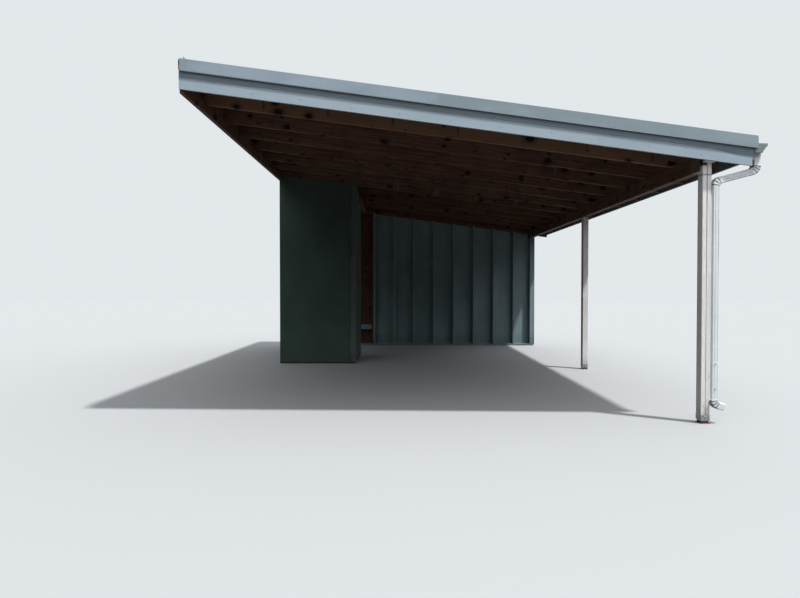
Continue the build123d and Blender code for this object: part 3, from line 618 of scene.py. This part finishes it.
# cleats on the rafter over the closet front
cleats = {"wide": 0.089, "thick": 0.019, "high": 0.128, "face": 4.232, "rows": [1.79, 2.40, 3.01, 3.62],
          "above": 0.010, "edge": 0.002}
bm = bmesh.new()
for x in cleats["rows"]:
    addBox(bm, (cleats["wide"], cleats["thick"], cleats["high"]),
           at(x, cleats["face"] - cleats["thick"] / 2, rafterUnder(x) + cleats["above"] + cleats["high"] / 2))
easeEdges(bm, cleats["edge"], 2)
finishPiece("rafter_cleats", bm, "cleatLumber")


# nail heads: each row is a start, a step, a count and the way that they face
def nailRows(name, shape, rows, finish, drift=0.004):
    bm = bmesh.new()
    luck = random.Random(len(rows) * 7 + 3)
    for start, step, count, face in rows:
        for i in range(count):
            place = Vector(start) + Vector(step) * i
            place += Vector([luck.uniform(-drift, drift) if abs(axis) < 0.5 else 0 for axis in face])
            stamp(bm, shape, Matrix.Translation(at(*place)) @ facing(face))
    finishPiece(name, bm, finish)


toFront, toRear, toWall, toEave = (0, -1, 0), (0, 1, 0), (-1, 0, 0), (1, 0, 0)
justOne = ((0, 0, 0), 1)
post = {"inner": 4.429, "outer": 4.505}
flatHead = discShape(radius=0.0045, height=0.0008, sides=10, crown=0.0008)
smallHead = discShape(radius=0.0035, height=0.0006, sides=8, crown=0.0006)
boltHead = hexScrewShape(washer=0.012, across=0.0085, height=0.007)
sheetScrew = hexScrewShape(washer=0.0065, across=0.0042, height=0.004)

coverNails = {"front": -0.060, "rear": 7.342, "first": 0.18, "pitch": 0.42, "count": 11, "below": 0.018,
              "drift": 0.012}
nailRows("cover_nails", flatHead, [
    ((coverNails["first"], y, rafterUnder(coverNails["first"]) - coverNails["below"]),
     downRoof(coverNails["pitch"]), coverNails["count"], face)
    for y, face in ((coverNails["front"], toFront), (coverNails["rear"], toRear))
], "coverNail", coverNails["drift"])

rivets = {"front": -0.074, "rear": 7.356, "foot": 0.0906, "first": 0.60, "pitch": 0.61, "count": 7, "rise": 0.018,
          "seam": 2.200, "seamRise": 0.022, "seamPitch": 0.05}
nailRows("trim_rivets", smallHead, [
    ((rivets["seam"], rivets["front"], rafterUnder(rivets["seam"]) + rivets["foot"] + rivets["seamRise"]),
     (0, 0, rivets["seamPitch"]), 2, toFront),
] + [
    ((rivets["first"], y, rafterUnder(rivets["first"]) + rivets["foot"] + rivets["rise"]),
     downRoof(rivets["pitch"]), rivets["count"], face)
    for y, face in ((rivets["front"], toFront), (rivets["rear"], toRear))
], "rakeTrim", 0.0)

postNails = {"near": 0.022, "far": 0.067, "innerFoot": 0.25, "outerFoot": 0.30, "pitch": 0.38, "count": 6}
nailRows("post_nails", smallHead, [
    ((x, y, foot), (0, 0, postNails["pitch"]), postNails["count"], face) for x, y, foot, face in (
        (post["inner"], postNails["near"], postNails["innerFoot"], toWall),
        (post["inner"], postNails["far"], postNails["innerFoot"], toWall),
        (post["outer"], postNails["far"], postNails["outerFoot"], toEave))
], "whitePost")

beamNails = {"inner": 0.40, "outer": 0.55, "levels": (2.19, 2.28), "pitch": 0.405, "count": 17, "drift": 0.008}
nailRows("beam_nails", smallHead, [
    ((x, y, z), (0, beamNails["pitch"], 0), beamNails["count"], face)
    for x, y, face in ((post["inner"], beamNails["inner"], toWall), (post["outer"], beamNails["outer"], toEave))
    for z in beamNails["levels"]
], "shadeDarkSteel", beamNails["drift"])

hangerNails = {"metal": 0.003, "inner": (0.060, 0.130, 0.190), "outer": (0.130, 0.190), "foot": 2.190,
               "pitch": 0.028, "count": 4}
nailRows("hanger_nails", smallHead, [
    ((x, y, hangerNails["foot"]), (0, 0, hangerNails["pitch"]), hangerNails["count"], face)
    for x, rows, face in ((post["inner"] - hangerNails["metal"], hangerNails["inner"], toWall),
                          (post["outer"] + hangerNails["metal"], hangerNails["outer"], toEave))
    for y in rows
], "shadeDarkSteel", 0.0)

baseBolts = {"posts": ((4.467, -0.003), (4.493, 3.557)), "apart": 0.095, "level": 0.054}
nailRows("base_bolts", boltHead, [
    ((x, y + off, baseBolts["level"]), *justOne, face)
    for x, y in baseBolts["posts"] for off, face in ((0, toFront), (baseBolts["apart"], toRear))
], "postBase", 0.0)

closetNails = {
    "front": {"face": 4.220, "rows": (0.022, 0.391, 0.763, 1.064), "foot": 0.10, "pitch": 0.20, "count": 13},
    "corner": {"face": 4.213, "rows": (1.105, 1.150), "foot": 0.12, "pitch": 0.40, "count": 7},
    "side": {"face": 1.170, "rows": (4.250, 4.759, 5.381), "foot": 0.10, "pitch": 0.20, "count": 12},
}
side = closetNails["side"]
nailRows("closet_nails", smallHead, [
    ((row, wall["face"], wall["foot"]), (0, 0, wall["pitch"]), wall["count"], toFront)
    for wall in (closetNails["front"], closetNails["corner"]) for row in wall["rows"]
] + [
    ((side["face"], row, side["foot"]), (0, 0, side["pitch"]), side["count"], toEave) for row in side["rows"]
], "closetNail")

rearNails = {"first": 1.317, "face": 7.332, "foot": 0.12, "pitch": 0.20, "count": 11, "rows": 8}
nailRows("rear_board_nails", smallHead, [
    ((rearNails["first"] + setOut["studPitch"] * i, rearNails["face"], rearNails["foot"]),
     (0, 0, rearNails["pitch"]), rearNails["count"], toRear) for i in range(rearNails["rows"])
], "greyUpright")

spoutScrews = {"face": -0.026, "pipe": (4.537, 0.298), "pipeRise": 0.217, "outlet": (4.880, 2.270),
               "ear": (4.5065, 0.067), "straps": (1.8205, 0.6525)}
nailRows("spout_screws", sheetScrew, [
    ((spoutScrews["pipe"][0], spoutScrews["face"], spoutScrews["pipe"][1]),
     (0, 0, spoutScrews["pipeRise"]), 2, toFront),
    ((spoutScrews["outlet"][0], spoutScrews["face"], spoutScrews["outlet"][1]), *justOne, toFront),
] + [
    ((*spoutScrews["ear"], level), *justOne, toEave) for level in spoutScrews["straps"]
], "fixings", 0.0)

flashingScrews = {"fromWall": 0.105, "first": 0.16, "pitch": 0.464, "count": 16, "above": 0.0135}
nailRows("flashing_screws", sheetScrew, [
    ((flashingScrews["fromWall"], flashingScrews["first"],
      rafterUnder(flashingScrews["fromWall"]) + sheetTop + flashingScrews["above"]),
     (0, flashingScrews["pitch"], 0), flashingScrews["count"], (fall, 0, 1)),
], "fixings", 0.0)
print("nails and screws set")


# hidden straps that hold the gutter's lip to the eave
gutterStraps = {"wide": 0.025, "thick": 0.0015, "from": 4.8352, "to": 4.934, "level": 2.3665, "pitch": 0.610,
                "first": 0.10, "count": 12, "edge": 0.0005}
reach = gutterStraps["to"] - gutterStraps["from"]
bm = bmesh.new()
for i in range(gutterStraps["count"]):
    y = gutterStraps["first"] + i * gutterStraps["pitch"]
    addBox(bm, (reach, gutterStraps["wide"], gutterStraps["thick"]),
           at(gutterStraps["from"] + reach / 2, y, gutterStraps["level"]))
easeEdges(bm, gutterStraps["edge"], 1)
finishPiece("gutter_straps", bm, "fixings")


# "rise" leaves a tenth of the splinter in the wood under it
splinterForm = {"sides": 5, "foot": 0.5, "tip": 0.06, "rise": 0.4, "roll": 0.15}


# one splinter of torn wood that stands up from its foot
def splinter(bm, foot, kind, luck):
    height, wide, thick, lean = (luck.uniform(*kind[key]) for key in ("height", "wide", "thick", "lean"))
    cone = bmesh.ops.create_cone(bm, cap_ends=True, segments=splinterForm["sides"], radius1=splinterForm["foot"],
                                 radius2=splinterForm["tip"], depth=1.0)["verts"]
    bmesh.ops.scale(bm, verts=cone, vec=(thick, wide, height))
    bmesh.ops.translate(bm, verts=cone, vec=(0, 0, height * splinterForm["rise"]))
    roll = luck.uniform(-splinterForm["roll"], splinterForm["roll"])
    turn = Matrix.Rotation(lean, 4, "X") @ Matrix.Rotation(roll, 4, "Y")
    bmesh.ops.transform(bm, matrix=Matrix.Translation(at(*foot)) @ turn, verts=cone)


# splinters along the torn upper edge of the closet's side panel
tear = {"points": [(5.400, 2.546), (5.292, 2.571), (5.268, 2.558), (5.130, 2.602), (5.096, 2.590),
                   (4.930, 2.634), (4.905, 2.622), (4.760, 2.676), (4.700, 2.668), (4.520, 2.716)],
        "ply": 1.164, "drift": 0.003, "sunk": 0.004, "perRun": 5, "seed": 12,
        "height": (0.008, 0.024), "wide": (0.008, 0.022), "thick": (0.002, 0.004), "lean": (-0.5, 0.5)}
luck = random.Random(tear["seed"])
bm = bmesh.new()
for (y0, z0), (y1, z1) in zip(tear["points"], tear["points"][1:]):
    for i in range(tear["perRun"]):
        part = luck.random()
        x = tear["ply"] + luck.uniform(-tear["drift"], tear["drift"])
        splinter(bm, (x, y0 + (y1 - y0) * part, z0 + (z1 - z0) * part - tear["sunk"]), tear, luck)
finishPiece("torn_ply_splinters", bm, "bareBoard")

# splinters on the split head of the front post's inner ply
postSplit = {"first": 4.433, "pitch": 0.0037, "count": 9, "depth": (0.006, 0.082), "foot": 2.198, "seed": 5,
             "height": (0.008, 0.020), "wide": (0.006, 0.014), "thick": (0.004, 0.008), "lean": (-0.25, 0.25)}
luck = random.Random(postSplit["seed"])
bm = bmesh.new()
for i in range(postSplit["count"]):
    foot = (postSplit["first"] + postSplit["pitch"] * i, luck.uniform(*postSplit["depth"]), postSplit["foot"])
    splinter(bm, foot, postSplit, luck)
finishPiece("split_post_head", bm, "whitePost")


# board that covers the end of the rear wall beside its corner post
endBoard = {"x": (4.531, 4.548), "y": (7.231, 7.332), "z": (0.02, 2.19), "edge": 0.003}
low, high = (at(*[endBoard[axis][end] for axis in "xyz"]) for end in (0, 1))
bm = bmesh.new()
addBox(bm, high - low, (high + low) / 2)
easeEdges(bm, endBoard["edge"], 2)
finishPiece("rear_end_board", bm, "greyUpright")


# a strip of face ply that curls away under the peeled patch
curl = {"face": 1.1705, "from": 4.47, "to": 4.80, "level": 1.245, "rise": 0.03, "radius": 0.021, "turn": 150,
        "steps": 14, "ply": 0.0014}
bm = bmesh.new()
first = bm.verts.new(at(curl["face"], curl["from"], curl["level"]))
last = bm.verts.new(at(curl["face"], curl["to"], curl["level"] + curl["rise"]))
edge = bm.edges.new((first, last))
centre = at(curl["face"] + curl["radius"], curl["from"], curl["level"] + curl["rise"] / 2)
bmesh.ops.spin(bm, geom=[edge], cent=centre, axis=(0, 1, 0), angle=-math.radians(curl["turn"]),
               steps=curl["steps"], use_merge=False)
bmesh.ops.solidify(bm, geom=bm.faces[:], thickness=curl["ply"])
bmesh.ops.recalc_face_normals(bm, faces=bm.faces[:])
finishPiece("peeled_ply_curl", bm, "peeledPly")
print("torn and peeled pieces made")


studio = {
    "zenith": 1.8, "horizon": 0.03, "skyRise": (0.17, 0.47), "sky": "#f3f6fa", "backdrop": "#e3e8eb",
    "ledgerTurn": -0.35, "ledgerFade": (-0.6, -0.2), "ledgerSide": 0.2, "ledgerShade": 0.35,
    "keyStrength": 4.75, "keySoftness": 2.5, "keyFrom": (0.39, -0.25, 1.0),
    "floorHalf": 60, "floorSeen": "#989a9b", "floorBounce": "#464141",
    "ledgerBounce": "#1c1a18", "ledgerEdge": (-2.6, -2.3), "frontBounce": "#585352", "frontEdge": (-3.6, -4.0),
}


# 1 for the rays that show the floor and backdrop as they look, 0 for those that light the part
def raySwitch(tree):
    seen = addNode(tree, "LightPath", {}, "Is Camera Ray")
    for ray in ("Is Glossy Ray", "Is Transmission Ray"):
        seen = addNode(tree, "Math", {0: seen, 1: addNode(tree, "LightPath", {}, ray)}, operation="MAXIMUM")
    return seen


# plain pale floor: light to the eye, darker to the light that bounces off it under the roof,
# and darkest behind the ledger, from where nothing is thrown up into the roof
def paleFloor():
    material, tree = newTree("plain floor")
    coords = addNode(tree, "TexCoord", {}, "Object")
    across = addNode(tree, "SeparateXYZ", {0: coords}, 0)
    along = addNode(tree, "SeparateXYZ", {0: coords}, 1)
    bounce = layer(tree, linearColour(studio["ledgerBounce"]), studio["floorBounce"], across, *studio["ledgerEdge"])
    bounce = layer(tree, bounce, studio["frontBounce"], along, *studio["frontEdge"])
    seen = linearColour(studio["floorSeen"])
    colour = addNode(tree, "Mix", {0: raySwitch(tree), 6: bounce, 7: seen}, 2, data_type="RGBA")
    addNode(tree, "OutputMaterial", {"Surface": addNode(tree, "BsdfDiffuse", {"Color": colour})})
    bm = bmesh.new()
    bmesh.ops.create_grid(bm, x_segments=1, y_segments=1, size=studio["floorHalf"])
    mesh = bpy.data.meshes.new("floor")
    bm.to_mesh(mesh)
    bm.free()
    mesh.materials.append(material)
    floor = bpy.data.objects.new("floor", mesh)
    bpy.context.collection.objects.link(floor)


# dome of soft light, lower and dimmer on the ledger's side, because the part is mounted there,
# and a plain backdrop to the eye
def studioSky(sky):
    way = addNode(sky, "TexCoord", {}, "Generated")
    fromEave, fromRear, fromAbove = (addNode(sky, "SeparateXYZ", {0: way}, axis) for axis in range(3))
    openSide = addNode(sky, "Math", {0: fromRear, 1: studio["ledgerTurn"], 2: fromEave}, operation="MULTIPLY_ADD")
    low, high = studio["ledgerFade"]
    share = addNode(sky, "MapRange", {0: openSide, 1: low, 2: high, 3: studio["ledgerSide"], 4: 1.0})
    behind = addNode(sky, "Math", {0: openSide, 1: 0.0}, operation="MINIMUM")
    lift = addNode(sky, "Math", {0: behind, 1: studio["ledgerShade"], 2: fromAbove}, operation="MULTIPLY_ADD")
    low, high = studio["skyRise"]
    lift = addNode(sky, "MapRange", {0: lift, 1: low, 2: high, 3: studio["horizon"], 4: studio["zenith"]})
    glow = addNode(sky, "Math", {0: lift, 1: share}, operation="MULTIPLY")
    dome = addNode(sky, "Background", {"Color": linearColour(studio["sky"]), "Strength": glow})
    backdrop = addNode(sky, "Background", {"Color": linearColour(studio["backdrop"]), "Strength": 1.0})
    shown = addNode(sky, "MixShader", {0: raySwitch(sky), 1: dome, 2: backdrop})
    addNode(sky, "OutputWorld", {"Surface": shown})


paleFloor()
world = bpy.data.worlds.new("studio")
bpy.context.scene.world = world
world.use_nodes = True
world.node_tree.nodes.clear()
studioSky(world.node_tree)

key = bpy.data.lights.new("soft key", "SUN")
key.energy = studio["keyStrength"]
key.angle = math.radians(studio["keySoftness"])
keyObject = bpy.data.objects.new("soft key", key)
keyObject.rotation_euler = Vector(studio["keyFrom"]).to_track_quat("Z", "Y").to_euler()
bpy.context.collection.objects.link(keyObject)
# the downspout, which stands a little proud, doesn't shade the face of the post beside it
unshading = bpy.data.collections.new("not in the way of the key")
for node in ("downspout_pipe", "downspout_lower_elbow", "downspout_strap_upper", "downspout_strap_lower"):
    unshading.objects.link(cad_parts[node])
for member in unshading.collection_objects:
    member.light_linking.link_state = "EXCLUDE"
keyObject.light_linking.blocker_collection = unshading

viewpoint = {"place": (-0.593, -8.931, 1.16), "pitchDown": 1.016, "yawLeft": 0.18, "lens": 27.9, "sensor": 36,
             "farEnd": 200}
camera = bpy.data.cameras.new("viewpoint")
camera.lens = viewpoint["lens"]
camera.sensor_width = viewpoint["sensor"]
camera.clip_end = viewpoint["farEnd"]
cameraObject = bpy.data.objects.new("viewpoint", camera)
cameraObject.location = viewpoint["place"]
cameraObject.rotation_euler = (math.radians(90 - viewpoint["pitchDown"]), 0, math.radians(viewpoint["yawLeft"]))
bpy.context.collection.objects.link(cameraObject)
bpy.context.scene.camera = cameraObject
bpy.context.scene.view_settings.view_transform = "Standard"
print("light and camera set")
